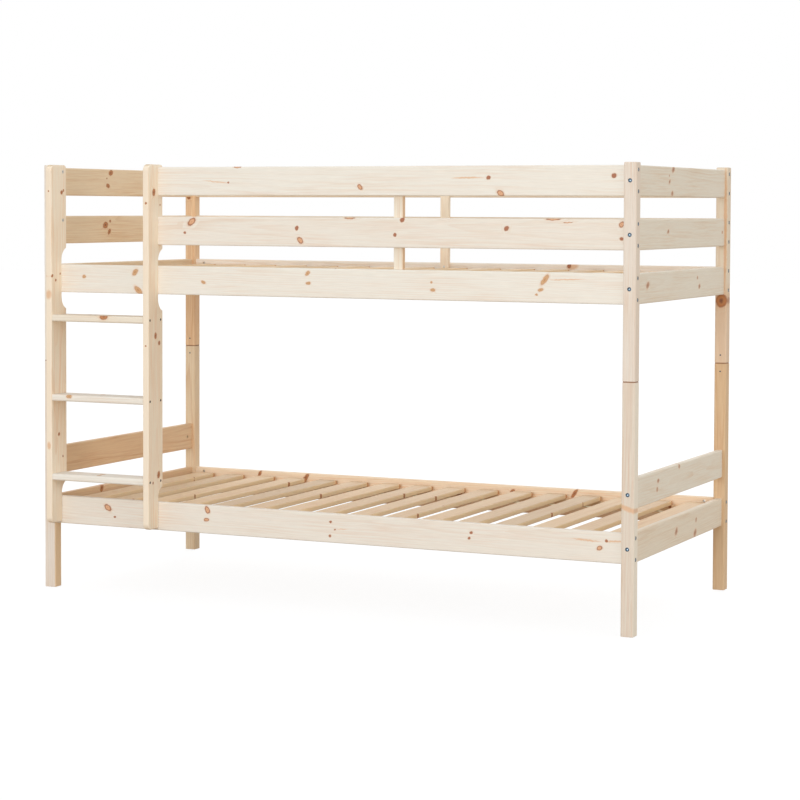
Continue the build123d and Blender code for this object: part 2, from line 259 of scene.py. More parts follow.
# Tones also paint in shade: the warm tones of the ledges, the lower rear rail, the lower left end rails and
# the rear right lower post stand in for the warm shade inside the bed.
TONE_AND_SHADE_OF = {
    "slat": ("slats",),
    "chalk": ("upper_rear_side_rail",),
    "milk": ("front_left_upper_post", "front_middle_guard", "lower_front_side_rail"),
    "shell": ("stile", "rear_guard_upright"),
    "blush": ("lower_rear_side_rail",),
    "peach": ("rear_left_upper_post", "ledge"),
    "rose": ("left_head_rail", "left_lower_end_rail"),
    "tan": ("rear_right_lower",),
    "oat": ("front_right_upper", "front_left_lower"),
    "clay": ("front_right",),
    "sand": ("left_upper", "rear_left"),
    "cream": ("post", "rear_middle", "rear_top", "right_lower_end"),
    "ivory": ("end_rail", "head_rail", "front_guard_upright", "top_tread"),
    "pale": ("",),
}
# The narrow sides listed here are painted lighter or darker than the faces: painted light and shade for how
# the light falls on each side.
SIDE_LIGHT_AND_SHADE = {
    "lower_slats": "#FFE2B8", "upper_slats": "#FFE2B8",
    "front_left_lower_post": "#FFDCAE", "front_left_upper_post": "#F2DDC4",
    "front_right_lower_post": "#FBF0DF", "front_right_upper_post": "#EEDCCA",
    "front_guard_upright": "#E4BC92", "ladder_left_stile": "#F4E2CC", "ladder_right_stile": "#F4E2CC",
}


def kind_of(node, table):
    """The first kind in a table with a word that is in the node's name."""
    return next(kind for kind, words in table.items() if any(word in node for word in words))


print(len(TONES), "tones of pine")

# %% [markdown]
# ## A space inside the board
# A picture of wood, wrapped round a board, gives itself away at the edges. So the figure is worked out in
# solid space: a point's place is measured in millimetres from the board's middle, first along the grain,
# then across the wide side and then through the board. All slats of a bed are one node, so each slat is
# counted off and moved to a place of its own in the trunk, or they would all have the same figure.

# %% Board space
SLAT_COUNT, SLAT_PITCH, SLAT_WIDTH = 16, 125.2, 70.0
# How far at most a slat is moved along, across and through the trunk
SLAT_MOVE = (900.0, 70.0, 30.0)


def board_space(tree, node, order):
    """A board's size and the place of each point in it, in the order along, across, through."""
    low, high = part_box(node)
    size = [(high - low)[axis] / MILLIMETRE for axis in order]
    middle = -(low + high) / 2 / MILLIMETRE
    place = add(tree, "TexCoord", {}, out="Object")
    local = add(tree, "Mapping", {"Vector": place, "Location": middle, "Scale": (1 / MILLIMETRE,) * 3})
    sides = add(tree, "SeparateXYZ", {"Vector": local}).node.outputs
    return size, add(tree, "CombineXYZ", {i: sides[axis] for i, axis in enumerate(order)})


def slat_space(tree, grain, width):
    """The place of each point in its slat's own trunk, and the slat's number."""
    first_edge = (width + SLAT_PITCH - SLAT_WIDTH) / 2
    across = add(tree, "SeparateXYZ", {"Vector": grain}, out=1)
    number = add(tree, "Math", {0: across, 1: first_edge}, operation="ADD")
    number = add(tree, "Math", {0: number, 1: SLAT_PITCH}, operation="DIVIDE")
    number = add(tree, "Math", {0: number}, operation="FLOOR")
    chance = add(tree, "TexWhiteNoise", {"W": number}, out=1, noise_dimensions="1D")
    moved = add(tree, "VectorMath", {0: chance, 1: SLAT_MOVE, 2: grain}, operation="MULTIPLY_ADD")
    back = add(tree, "Math", {0: number, 1: -SLAT_PITCH}, operation="MULTIPLY")
    back = add(tree, "CombineXYZ", {1: back})
    return add(tree, "VectorMath", {0: moved, 1: back}, operation="ADD"), number


print(SLAT_COUNT, "slats to a bed, one every", SLAT_PITCH, "mm")

# %% [markdown]
# ## Rings
# A board is cut from a trunk, so its rings are drawn about a pith that lies outside it, a little wavy and
# tapering along the grain. The long sides then show flame shapes and the cut ends show arcs, and they
# meet at the edges as they do in real wood. Rings in pine are 2 to 4 mm wide, about a pixel of the
# picture, so they are drawn wider.

# %% Rings
RING_WIDTH = 5.5
# Where in a year the late wood begins and is full, and how faint or strong a year can be
LATE_WOOD, YEAR_STRENGTH = (0.45, 0.88, 0.0, 1.0), (0.0, 1.0, 0.1, 0.62)
# The pith lies within the board's width and this many millimetres above or below its middle
PITH_ACROSS, PITH_DEPTH = (-0.5, 0.5), (36, 72)
# How much the trunk narrows along the board, millimetre for millimetre
TAPER = 0.011
# Waves to the millimetre along the grain, across it and through it, and how far the rings sway with them
WANDER, WANDER_DEPTH = (1 / 420, 1 / 46, 1 / 46), 17


def grain_noise(tree, solid, waves, detail, seed=None):
    """Noise from 0 to 1, drawn out along the grain."""
    drawn_out = add(tree, "VectorMath", {0: solid, 1: waves}, operation="MULTIPLY")
    noise = {"Vector": drawn_out, "Scale": 1.0, "Detail": detail}
    if seed is None:
        return add(tree, "TexNoise", noise)
    return add(tree, "TexNoise", noise | {"W": seed}, noise_dimensions="4D")


def pith_distance(tree, solid, width, seed, draw):
    """How far each point is from the pith of the trunk, in millimetres."""
    pith = (0, draw.uniform(*PITH_ACROSS) * width, draw.choice((-1, 1)) * draw.uniform(*PITH_DEPTH))
    off_pith = add(tree, "Mapping", {"Vector": solid, "Location": pith, "Scale": (0, 1, 1)})
    radius = add(tree, "VectorMath", {0: off_pith}, out=1, operation="LENGTH")
    run = add(tree, "SeparateXYZ", {"Vector": solid})
    taper = draw.choice((-1, 1)) * TAPER
    radius = add(tree, "Math", {0: run, 1: taper, 2: radius}, operation="MULTIPLY_ADD")
    wander = grain_noise(tree, solid, WANDER, detail=2.0, seed=seed)
    return add(tree, "Math", {0: wander, 1: WANDER_DEPTH, 2: radius}, operation="MULTIPLY_ADD")


def year_lines(tree, radius, patch):
    """The late wood of each year, from 0 to 1. Some years are strong and some hardly show."""
    rings = add(tree, "Math", {0: radius, 1: RING_WIDTH}, operation="DIVIDE")
    year = add(tree, "Math", {0: rings}, operation="FLOOR")
    within = add(tree, "Math", {0: rings}, operation="FRACT")
    late_wood = add(tree, "MapRange", {"Value": within}, levels=LATE_WOOD)
    strength = add(tree, "TexWhiteNoise", {"W": year}, noise_dimensions="1D")
    strength = add(tree, "MapRange", {"Value": strength}, levels=YEAR_STRENGTH)
    strength = add(tree, "Math", {0: strength, 1: patch}, operation="MULTIPLY")
    return add(tree, "Math", {0: late_wood, 1: strength}, operation="MULTIPLY")


print("rings drawn", RING_WIDTH, "mm wide")

# %% [markdown]
# ## Knots in the wood
# Each knot is a short branch through the board. Its place is an ellipse in the board's own space, with an
# edge that noise makes ragged. A knot could be painted on the face alone, but as a branch it comes out on
# the other side and at the edges too. Knots on a narrow side go a few millimetres deep. What counts later
# is how far a point is from the nearest knot: 0 is the heart and 1 the rim. In a small knot this stays
# close to 1, so it is as dark as a rim all through.

# %% Knots in the wood
KNOT_SLENDER = (0.28, 0.36)
SMALL_KNOT, SMALL_SLENDER, SMALL_HEART = 18, 0.42, 0.84
SIDE_KNOT_DEPTH = 9
# Longer than any board is thick, and further than any knot reaches
THROUGH, FAR = 1e6, 9.0
# Waves to the millimetre, and how far they shake a rim
RAGGED, RAGGED_DEPTH = 0.11, 5.0


def ragged_space(tree, grain):
    """The board's space, shaken a little, so that the outline of a knot is ragged."""
    shake = add(tree, "TexNoise", {"Vector": grain, "Scale": RAGGED, "Detail": 1.0}, out=1)
    shake = add(tree, "VectorMath", {0: shake, 1: (0.5,) * 3}, operation="SUBTRACT")
    return add(tree, "VectorMath", {0: shake, 1: (RAGGED_DEPTH,) * 3, 2: grain}, operation="MULTIPLY_ADD")


def knot_field(tree, shaken, knots, side_knots, size, draw):
    """How far each point is from the nearest knot, where 1 is a knot's rim."""
    nearest = add(tree, "Math", {0: FAR, 1: 0.0}, operation="ADD")
    for on_side, listed in ((False, knots), (True, side_knots)):
        for along, across, length, lean, *own in listed:
            small = length < SMALL_KNOT
            usual = [SMALL_SLENDER if small else draw.uniform(*KNOT_SLENDER), SMALL_HEART if small else 0]
            slender, least = own + usual[len(own):]
            long, short = length / 2, length * slender
            first, second = along - size[0] / 2, across - size[2 if on_side else 1] / 2
            place = (first, -size[1] / 2, second) if on_side else (first, second, 0)
            scale = (long, SIDE_KNOT_DEPTH, short) if on_side else (long, short, THROUGH)
            turn = (0, 0, 0 if on_side else math.radians(lean))
            ellipse = {"Vector": shaken, "Location": place, "Rotation": turn, "Scale": scale}
            inside = add(tree, "Mapping", ellipse, vector_type="TEXTURE")
            away = add(tree, "VectorMath", {0: inside}, out=1, operation="LENGTH")
            if least:
                away = add(tree, "Math", {0: away, 1: least}, operation="MAXIMUM")
            nearest = add(tree, "Math", {0: nearest, 1: away}, operation="MINIMUM")
    return nearest


print("knots under", SMALL_KNOT, "mm are dark all through")

# %% [markdown]
# ## Colours of knots
# A ringed knot has a pale heart and a dark rim of bark, a ruddy one is dark with resin to the heart, a
# faded one is hardly darker than the wood, and a soft one fades towards its rim. The colours run from the
# heart to the rim on a ramp. Round each knot there is a halo of resin, in the orange of the smears, and
# the rings bend away from it.

# %% Colours of knots
KNOT_STOPS = {
    "ringed": ((0, "#C98A5E"), (0.35, "#E2B088"), (0.62, "#D89C70"), (0.82, "#A8623C"), (1, "#803E1E")),
    "ruddy": ((0, "#6A371B"), (0.25, "#8E4E28"), (0.5, "#C07C44"), (0.75, "#BA723A"), (1, "#934F26")),
    "faded": ((0, "#AC7344"), (0.3, "#CA9461"), (0.6, "#D6A678"), (0.85, "#CA9868"), (1, "#BC8656")),
    "soft": ((0, "#9C6247"), (0.4, "#B88566"), (0.7, "#C69A7C"), (0.88, "#CAA083"), (1, "#CEA68A")),
}
KNOT_KINDS = {
    "ruddy": (
        "rear_right_upper_post", "left_upper", "left_lower_end", "lower_rear", "stile", "slats",
        "top_tread"),
    "soft": ("right_upper", "right_lower_end", "right_head"),
    "faded": ("upper_front_side_rail", "tread"),
    "ringed": ("",),
}
# Distances from a knot and the share of its colour there
KNOT_EDGE, HALO = (0.9, 1.12, 0.92, 0.0), (0.95, 1.7, 0.4, 0.0)
SMEAR, SMEAR_EDGE = "#E3B184", (0.6, 1.2, 0.75, 0.0)
# Distances within which the rings bend, and how far they do, in millimetres
BENT_RINGS, BEND = (0.6, 2.6, 1.0, 0.0), 6


def lay_knots(tree, wood, node, away, smear_and_shade_field):
    """Lay smears, painted shade strips, halos and knots over the wood."""
    if smear_and_shade_field is not None:
        smear_and_shade_mask = add(tree, "MapRange", {"Value": smear_and_shade_field}, levels=SMEAR_EDGE)
        wood = add(tree, "Mix", {SHARE: smear_and_shade_mask, UNDER: wood, OVER: linear(SMEAR)}, **BLEND)
    halo = add(tree, "MapRange", {"Value": away}, levels=HALO, interpolation_type="SMOOTHSTEP")
    wood = add(tree, "Mix", {SHARE: halo, UNDER: wood, OVER: linear(SMEAR)}, **BLEND)
    stops = [(at, linear(colour)) for at, colour in KNOT_STOPS[kind_of(node, KNOT_KINDS)]]
    knot = add(tree, "ValToRGB", {"Fac": away}, stops=stops)
    core = add(tree, "MapRange", {"Value": away}, levels=KNOT_EDGE)
    return add(tree, "Mix", {SHARE: core, UNDER: wood, OVER: knot}, **BLEND)


print(len(KNOT_STOPS), "kinds of knot")

# %% [markdown]
# ## Sides and ends
# Cut ends are darker than the faces, because light sinks into the open grain, and their rings stand out.
# Where two halves of a post meet, the ends are brown: partly end grain browned by the saw, partly painted
# shade of the gap between the halves. The sides of the slats are brown near their ends. On some boards the
# narrow sides are painted lighter or darker than the faces, as painted light and shade. Each side could
# have a material of its own, but then the figure would break off at the edges. So the direction of the
# surface tells a side or an end from a face, inside one material.

# %% Sides and ends
# How squarely the surface has to face that way, and the share of the colour there
SIDE_LEVELS, CUT_END = (0.6, 0.95, 0.0, 0.8), (0.6, 0.95, 0.0, 1.0)
END_EARLY, END_LATE = "#DCC09A", "#B98A5C"
# Millimetres from the end, and the share of the colour there
# The joint brown is partly the saw's browning of the end grain and partly painted shade of the gap between
# the post halves.
JOINT, JOINT_DEPTH = "#9C6440", (1.0, 2.6, 0.8, 0.0)
SLAT_END, SLAT_END_DEPTH = "#C98248", (4.0, 12.0, 0.9, 0.0)


def paint_side_light_and_shade(tree, wood, node, facing_across):
    """Paint light and shade on the narrow sides of the listed boards, lighter on some and darker on others.
    """
    if node not in SIDE_LIGHT_AND_SHADE:
        return wood
    side_share = add(tree, "MapRange", {"Value": facing_across}, levels=SIDE_LEVELS)
    return add(tree, "Mix", {SHARE: side_share, UNDER: wood, OVER: linear(SIDE_LIGHT_AND_SHADE[node])}, **BLEND)


def lay_ends(tree, wood, line, facing_along):
    """Show the end grain where the board was cut across."""
    rings = add(tree, "Mix", {SHARE: line, UNDER: linear(END_EARLY), OVER: linear(END_LATE)}, **BLEND)
    cut_end = add(tree, "MapRange", {"Value": facing_along}, levels=CUT_END)
    return add(tree, "Mix", {SHARE: cut_end, UNDER: wood, OVER: rings}, **BLEND)


def lay_joint_shade_and_slat_ends(tree, wood, node, grain, length, facing_across):
    """Brown the joint end of a half post, partly as painted shade of the gap, and the end corners of the
    slats.
    """
    run = add(tree, "SeparateXYZ", {"Vector": grain})
    if node.endswith("post"):
        towards = -1 if "lower" in node else 1
        depth = add(tree, "Math", {0: run, 1: towards, 2: length / 2}, operation="MULTIPLY_ADD")
        joint = add(tree, "MapRange", {"Value": depth}, levels=JOINT_DEPTH)
        wood = add(tree, "Mix", {SHARE: joint, UNDER: wood, OVER: linear(JOINT)}, **BLEND)
    elif node.endswith("slats"):
        depth = add(tree, "Math", {0: run}, operation="ABSOLUTE")
        depth = add(tree, "Math", {0: length / 2, 1: depth}, operation="SUBTRACT")
        corner = add(tree, "MapRange", {"Value": depth}, levels=SLAT_END_DEPTH)
        corner = add(tree, "Math", {0: corner, 1: facing_across}, operation="MULTIPLY")
        wood = add(tree, "Mix", {SHARE: corner, UNDER: wood, OVER: linear(SLAT_END)}, **BLEND)
    return wood


print(len(SIDE_LIGHT_AND_SHADE), "nodes with sides of their own colour")

# %% [markdown]
# ## Clear wood
# Between the knots the colour is laid in steps: early wood, then soft streaks, which carry the lines that
# show from a step away, then the year lines. Patches a hand long let both come and go. Fibres of pine are
# finer than a hair and would not show, so they are drawn about a millimetre wide, as faint flecks. Slats
# are cut from many boards, so each has a shade of its own.

# %% Clear wood
# Waves to the millimetre along the grain, across it and through it
PATCH, PATCH_LEVELS = (1 / 260, 1 / 60, 1 / 60), (0.35, 0.65, 0.25, 1.0)
STREAK, STREAK_LEVELS = (1 / 150, 1 / 5, 1 / 5), (0.42, 0.72, 0.0, 1.0)
FIBRE, FLECK = (1 / 45, 1 / 1.1, 1 / 1.1), (0.3, 0.7, 0.94, 1.03)
SLAT_SHADES = (0.0, 1.0, 0.88, 1.08)


def pine_colour(tree, node, solid, radius, seed, number):
    """The colour of the clear wood, the year lines and the fibre."""
    early, late, warm = (linear(colour) for colour in TONES[kind_of(node, TONE_AND_SHADE_OF)])
    patch = grain_noise(tree, solid, PATCH, detail=1.0, seed=seed)
    patch = add(tree, "MapRange", {"Value": patch}, levels=PATCH_LEVELS)
    line = year_lines(tree, radius, patch)
    streak = grain_noise(tree, solid, STREAK, detail=3.0, seed=seed)
    streak = add(tree, "MapRange", {"Value": streak}, levels=STREAK_LEVELS)
    streak = add(tree, "Math", {0: streak, 1: patch}, operation="MULTIPLY")
    wood = add(tree, "Mix", {SHARE: streak, UNDER: early, OVER: warm}, **BLEND)
    wood = add(tree, "Mix", {SHARE: line, UNDER: wood, OVER: late}, **BLEND)
    fibre = grain_noise(tree, solid, FIBRE, detail=2.0)
    fleck = add(tree, "MapRange", {"Value": fibre}, levels=FLECK)
    wood = add(tree, "VectorMath", {0: wood, "Scale": fleck}, operation="SCALE")
    if number is not None:
        shade = add(tree, "TexWhiteNoise", {"W": number}, noise_dimensions="1D")
        shade = add(tree, "MapRange", {"Value": shade}, levels=SLAT_SHADES)
        wood = add(tree, "VectorMath", {0: wood, "Scale": shade}, operation="SCALE")
    return wood, line, fibre


print("streaks, lines and flecks ready")

# %% [markdown]
# ## Planed pine
# Now the finish is put together. The planer leaves a smooth, half-matt surface: late wood is a little
# glossier and stands a little higher than the soft early wood, and the fibres break up the shine. The eye
# gets a warm, dry surface with no clear reflection. Every board has a material of its own, because the
# knots differ.

# %% Planed pine
SEEDS = (0, 100)
ROUGHNESS = (0.0, 1.0, 0.62, 0.5)
LINE_RELIEF, RELIEF_DEPTH, RELIEF_STRENGTH = 0.6, 0.2, 0.25


def pine(node, along, across):
    """Dress one board in planed pine: along and across name the axes of its length and its wide side."""
    through = "XYZ".replace(along, "").replace(across, "")
    order = ["XYZ".index(axis) for axis in along + across + through]
    draw = random.Random(node)
    material, tree, shader = new_material("planed_pine_" + node)
    size, grain = board_space(tree, node, order)
    solid, number = slat_space(tree, grain, size[1]) if node.endswith("slats") else (grain, None)
    facing = add(tree, "TexCoord", {}, out="Normal")
    facing = add(tree, "VectorMath", {0: facing}, operation="ABSOLUTE")
    facing = add(tree, "SeparateXYZ", {"Vector": facing}).node.outputs

    seed = draw.uniform(*SEEDS)
    radius = pith_distance(tree, solid, size[1], seed, draw)
    shaken = ragged_space(tree, grain)
    knots = KNOTS[node] if node in KNOTS else drawn_knots(draw, size[0], size[1])
    away = knot_field(tree, shaken, knots, SIDE_KNOTS.get(node, ()), size, draw)
    smear_and_shade_field = None
    if node in SMEARS_AND_SHADE or node in SIDE_SMEARS:
        smear_and_shade_field = knot_field(tree, shaken, SMEARS_AND_SHADE.get(node, ()), SIDE_SMEARS.get(node, ()), size, draw)
    bent = add(tree, "MapRange", {"Value": away}, levels=BENT_RINGS, interpolation_type="SMOOTHSTEP")
    radius = add(tree, "Math", {0: bent, 1: BEND, 2: radius}, operation="MULTIPLY_ADD")

    wood, line, fibre = pine_colour(tree, node, solid, radius, seed, number)
    wood = paint_side_light_and_shade(tree, wood, node, facing[order[1]])
    wood = lay_knots(tree, wood, node, away, smear_and_shade_field)
    wood = lay_ends(tree, wood, line, facing[order[0]])
    wood = lay_joint_shade_and_slat_ends(tree, wood, node, grain, size[0], facing[order[1]])

    rough = add(tree, "MapRange", {"Value": line}, levels=ROUGHNESS)
    relief = add(tree, "Math", {0: line, 1: LINE_RELIEF, 2: fibre}, operation="MULTIPLY_ADD")
    depth = RELIEF_DEPTH * MILLIMETRE
    bump = add(tree, "Bump", {"Strength": RELIEF_STRENGTH, "Distance": depth, "Height": relief})
    tree.links.new(wood, shader.inputs["Base Color"])
    tree.links.new(rough, shader.inputs["Roughness"])
    tree.links.new(bump, shader.inputs["Normal"])
    nodes[node].data.materials.clear()
    nodes[node].data.materials.append(material)


print("pine ready")

# %% [markdown]
# ## Dressing the boards
# The grain runs along each board: with X in the rails and treads, with Y in the end rails and slats, and
# upright in posts, uprights and ladder stiles. The second letter is the axis of the wide side.

# %% A finish for every board
GRAIN = {
    "side_rail": "XZ", "guard_rail": "XZ", "ledge": "XZ", "tread": "XY",
    "end_rail": "YZ", "head_rail": "YZ", "slats": "YX",
    "post": "ZX", "upright": "ZX", "stile": "ZY",
}
for node in nodes:
    for ending, axes in GRAIN.items():
        if node.endswith(ending):
            pine(node, *axes)
print(len(bpy.data.materials), "materials so far")

# %% [markdown]
# ## Steel
# Bolts, pins and set screws are steel with a thin zinc plating. Barrel plating leaves a faint mottle, so
# colour and roughness drift a little over a few millimetres. The tread screws are plated black. Nuts and
# the other wood screws are left bare. The finishes differ in little but their colours, so one function
# makes all.

# %% Steel
MOTTLE = 2.5
STEEL_ROUGHNESS = (0.2, 0.8, 0.28, 0.45)


def steel(name, dark, light):
    """Steel with a finish that is mottled between two colours."""
    material, tree, shader = new_material(name)
    place = add(tree, "TexCoord", {}, out="Object")
    mottle = add(tree, "TexNoise", {"Vector": place, "Scale": 1 / (MOTTLE * MILLIMETRE), "Detail": 2.0})
    plating = add(tree, "Mix", {SHARE: mottle, UNDER: linear(dark), OVER: linear(light)}, **BLEND)
    rough = add(tree, "MapRange", {"Value": mottle}, levels=STEEL_ROUGHNESS)
    tree.links.new(plating, shader.inputs["Base Color"])
    tree.links.new(rough, shader.inputs["Roughness"])
    shader.inputs["Metallic"].default_value = 1.0
    return material


# Passivated zinc is a cool, dark blue-grey that shines softly
zinc_plating = steel("zinc_plated_steel", "#283641", "#516577")
# In the sockets the key has scraped the plating, and they look a step brighter
scraped_zinc = steel("scraped_zinc", "#8797A3", "#B4C0C8")
# Black zinc is a warm near-black with a dull shine
black_zinc = steel("black_zinc", "#24211F", "#3E3A36")
# Bare bright steel takes on the colour of the wood round it and is hardly seen
bare_steel = steel("bare_steel", "#C9C5BE", "#E6E3DD")
nodes["post_pins"].data.materials.clear()
nodes["post_pins"].data.materials.append(zinc_plating)
print("four finishes of steel")

# %% [markdown]
# ## Tools for small pieces
# The CAD model holds the fasteners as plain rods, many to a node. Each kind is modelled once here, with
# its head at the origin and its shank pointing down, and a copy then goes where the frame has a solid.
# These tools select, cut and soften as one would by hand. A cut takes its finish along on the cutter.

# %% Tools for small pieces
STEEL_SIDES = 24
HARD_EDGE, SMOOTH_BELOW = math.radians(40), math.radians(35)


def alone(piece):
    """Select one piece and make it active."""
    bpy.ops.object.select_all(action="DESELECT")
    piece.select_set(True)
    bpy.context.view_layer.objects.active = piece


def pick_faces(piece, test):
    """Go to edit mode with only the faces selected that pass a test."""
    alone(piece)
    bpy.ops.object.mode_set(mode="EDIT")
    bpy.ops.mesh.select_mode(type="FACE")
    bpy.ops.mesh.select_all(action="DESELECT")
    bpy.ops.object.mode_set(mode="OBJECT")
    for face in piece.data.polygons:
        face.select = test(face)
    bpy.ops.object.mode_set(mode="EDIT")


def cut(piece, cutters, inside):
    """Cut the cutters out of a piece and remove them. The cut faces get the inside finish."""
    for cutter in cutters:
        cutter.data.materials.append(inside)
        difference = piece.modifiers.new("cut", "BOOLEAN")
        difference.material_mode = "TRANSFER"
        difference.object = cutter
        alone(piece)
        bpy.ops.object.modifier_apply(modifier=difference.name)
        bpy.data.objects.remove(cutter)


def soften(piece, width):
    """Round the hard edges and shade the round sides smooth."""
    rounded = piece.modifiers.new("soften", "BEVEL")
    rounded.width = width * MILLIMETRE
    rounded.segments = 2
    rounded.limit_method = "ANGLE"
    rounded.angle_limit = HARD_EDGE
    alone(piece)
    bpy.ops.object.modifier_apply(modifier=rounded.name)
    bpy.ops.object.shade_smooth_by_angle(angle=SMOOTH_BELOW)


def rod(radius, length, top, sides=STEEL_SIDES):
    """A round bar that hangs down from a height."""
    bpy.ops.object.select_all(action="DESELECT")
    bpy.ops.mesh.primitive_cylinder_add(
        vertices=sides, radius=radius * MILLIMETRE, depth=length * MILLIMETRE,
        location=(0, 0, (top - length / 2) * MILLIMETRE))
    bpy.ops.object.transform_apply()
    return bpy.context.object


print("tools ready")

# %% [markdown]
# ## Where a fastener sits
# The places of the fasteners could be written down again, but the frame has them already. A copy of the
# node is merged, split into its loose solids and measured. A solid's longest side is its axis. Bolts and
# screws have their head at the wide end. Barrel nuts and set screws are as wide at both ends, and show
# the end that looks into the bed.

# %% Solids and seats
SAME_POINT = 1e-6
# Shares of the greatest width that count as wide, and of the length that tell a head from a plain end
RIM, LEAN_OF_HEAD = 0.9, 0.1


def solids_of(node):
    """The corner points of each solid in a CAD node, from a copy that is merged, split and removed."""
    copy = nodes[node].copy()
    copy.data = nodes[node].data.copy()
    bpy.context.scene.collection.objects.link(copy)
    alone(copy)
    bpy.ops.object.mode_set(mode="EDIT")
    bpy.ops.mesh.select_all(action="SELECT")
    bpy.ops.mesh.remove_doubles(threshold=SAME_POINT)
    bpy.ops.mesh.separate(type="LOOSE")
    bpy.ops.object.mode_set(mode="OBJECT")
    loose = list(bpy.context.selected_objects)
    found = [[corner.co.copy() for corner in solid.data.vertices] for solid in loose]
    for solid in loose:
        bpy.data.objects.remove(solid)
    return found


def seat_of(corners):
    """The middle of a fastener's outer end, the way in from there, and its length."""
    low, high = (Vector(map(pick, zip(*corners))) for pick in (min, max))
    size, middle = high - low, (low + high) / 2
    axis = max(range(3), key=lambda i: size[i])
    sideways = Vector([0 if i == axis else 1 for i in range(3)])
    spread = [((corner - middle) * sideways).length for corner in corners]
    wide = [corner[axis] for corner, far in zip(corners, spread) if far > RIM * max(spread)]
    lean = sum(wide) / len(wide) - middle[axis]
    headed = abs(lean) > LEAN_OF_HEAD * size[axis]
    at_high = lean > 0 if headed else middle[axis] < 0
    outer, inward = middle.copy(), Vector((0, 0, 0))
    outer[axis] = high[axis] if at_high else low[axis]
    inward[axis] = -1 if at_high else 1
    return outer, inward, size[axis] / MILLIMETRE


print("seats ready")

# %% [markdown]
# ## Copies in their places
# Fasteners of one length share a model, and each copy has its own mesh. A bolt stops turning where it is
# tight, so every head is turned by a draw. Barrel nuts are not turned, because their slots line up with
# the bolts. The copies of a node are joined, and the set stands for the node.

# %% Copies in their places
def place_copies(node, make, spin):
    """Stand a copy of a fastener on every solid of a CAD node, and let the set stand for the node."""
    draw = random.Random(node)
    models, copies = {}, []
    for corners in solids_of(node):
        outer, inward, length = seat_of(corners)
        length = round(length, 1)
        if length not in models:
            models[length] = make(length)
        copy = bpy.data.objects.new(node + "_set", models[length].data.copy())
        bpy.context.scene.collection.objects.link(copy)
        turn = Matrix.Rotation(draw.uniform(0, math.tau) if spin else 0, 4, "Z")
        point_in = inward.to_track_quat("-Z", "Y").to_matrix().to_4x4()
        copy.data.transform(Matrix.Translation(outer) @ point_in @ turn)
        copies.append(copy)
    for model in models.values():
        bpy.data.objects.remove(model)
    alone(copies[0])
    for copy in copies:
        copy.select_set(True)
    bpy.ops.object.join()
    whole = bpy.context.object
    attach(whole, nodes[node]["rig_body"])
    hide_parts(node)
    print(whole.name, len(copies), "copies")


print("ready to place copies")

# %% [markdown]
# ## Furniture bolts
# The rails are held by connector bolts: a flat round head that sits just under the wood, with a socket
# for a hexagon key. The head starts as a cylinder, the shank is drawn out of its underside and the socket
# is cut with a six-sided bar. The thread is deep in the wood, so it is left out. Two shorter bolts hold
# the ladder, in sleeve nuts with the same socket.

# %% Furniture bolts and sleeve nuts
HEAD, HEAD_HEIGHT, SHANK = 6.0, 6.0, 3.0
SOCKET, SOCKET_DEPTH = 2.9, 3.2
FLANGE_HEIGHT, SLEEVE = 2.0, 4.5
BOLT_EDGE, NUT_EDGE = 0.55, 0.3
DOWN = -0.9


def looks_down(face):
    """True for a face on the underside."""
    return face.normal.z < DOWN


def headed_rod(head, head_height, shank, length, finish):
    """A round head with a thinner shank drawn out of its underside."""
    piece = rod(head, head_height, 0)
    piece.data.materials.append(finish)
    pick_faces(piece, looks_down)
    bpy.ops.mesh.inset(thickness=(head - shank) * MILLIMETRE)
    bpy.ops.mesh.extrude_region_move(
        TRANSFORM_OT_translate={"value": (0, 0, (head_height - length) * MILLIMETRE)})
    bpy.ops.object.mode_set(mode="OBJECT")
    return piece


def furniture_bolt(length):
    """A zinc-plated bolt with a hexagon socket."""
    piece = headed_rod(HEAD, HEAD_HEIGHT, SHANK, length, zinc_plating)
    cut(piece, [rod(SOCKET, SOCKET_DEPTH * 2, SOCKET_DEPTH, sides=6)], scraped_zinc)
    soften(piece, BOLT_EDGE)
    return piece


def sleeve_nut(length):
    """A flanged sleeve of bare steel with the same socket."""
    piece = headed_rod(HEAD, FLANGE_HEIGHT, SLEEVE, length, bare_steel)
    cut(piece, [rod(SOCKET, SOCKET_DEPTH * 2, SOCKET_DEPTH, sides=6)], bare_steel)
    soften(piece, NUT_EDGE)
    return piece


for node in nodes:
    if node.endswith("bolts"):
        place_copies(node, furniture_bolt, spin=True)
place_copies("ladder_sleeve_nuts", sleeve_nut, spin=True)

# %% [markdown]
# ## Barrel nuts and set screws
# A barrel nut is a short steel bar pushed into the side of a rail. Its end has a slot that lines up with
# the cross hole, so that a screwdriver can turn the hole towards the bolt. The set screws that hold the
# pins in the posts have a small hexagon socket.

# %% Barrel nuts and set screws
NUT = 5.0
SLOT_WIDTH, SLOT_DEPTH = 1.5, 1.8
HOLE_SIDES = 16
SET_SCREW, SET_SOCKET, SET_SOCKET_DEPTH = 2.5, 1.45, 2.5
SET_SCREW_SIDES, SET_SCREW_EDGE = 18, 0.25


def bar(width, depth, height):
    """A square cutter about the origin."""
    bpy.ops.object.select_all(action="DESELECT")
    bpy.ops.mesh.primitive_cube_add(size=MILLIMETRE)
    bpy.context.object.scale = (width, depth, height)
    bpy.ops.object.transform_apply()
    return bpy.context.object


def barrel_nut(length):
    """A steel bar with a slot in its end and a hole across its middle."""
    piece = rod(NUT, length, 0)
    piece.data.materials.append(bare_steel)
    hole = rod(SHANK, NUT * 3, NUT * 1.5, sides=HOLE_SIDES)
    halfway = Matrix.Translation((0, 0, -length / 2 * MILLIMETRE))
    hole.data.transform(halfway @ Matrix.Rotation(math.pi / 2, 4, "Y"))
    cut(piece, [bar(NUT * 3, SLOT_WIDTH, SLOT_DEPTH * 2), hole], bare_steel)
    soften(piece, NUT_EDGE)
    return piece


